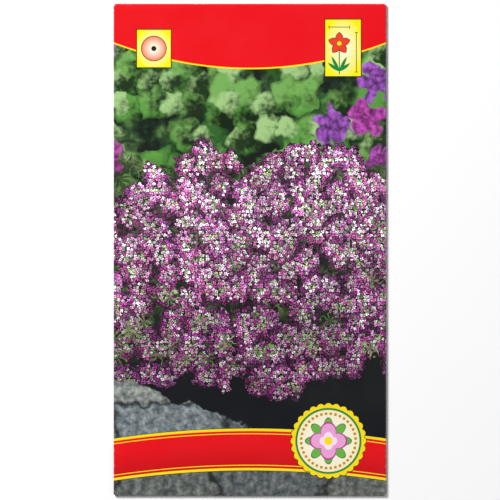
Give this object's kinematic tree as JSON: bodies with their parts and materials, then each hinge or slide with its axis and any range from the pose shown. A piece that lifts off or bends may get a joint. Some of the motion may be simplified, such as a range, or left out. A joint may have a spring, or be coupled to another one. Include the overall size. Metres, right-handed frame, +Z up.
{
  "type": "seed packet",
  "caption": "Sealed flat paper packet of flower seed with a glossy printed front, folded and glued at the back, with a small glassine sachet of seed inside.",
  "frame": {"origin": "under the middle of the packet, on the surface that it lies on", "axes": "+Z up out of the printed front, +Y towards the top of the print"},
  "size_m": [0.08, 0.1446, 0.0031],
  "materials": {
    "printed_paper": "glossy film over a full colour flower print",
    "glassine": "smooth, slightly glossy",
    "seed_coat": "matte"
  },
  "bodies": {
    "root": {"envelope": "printed_paper", "inner_sachet": "glassine", "seeds": "seed_coat"}
  },
  "joints": []
}
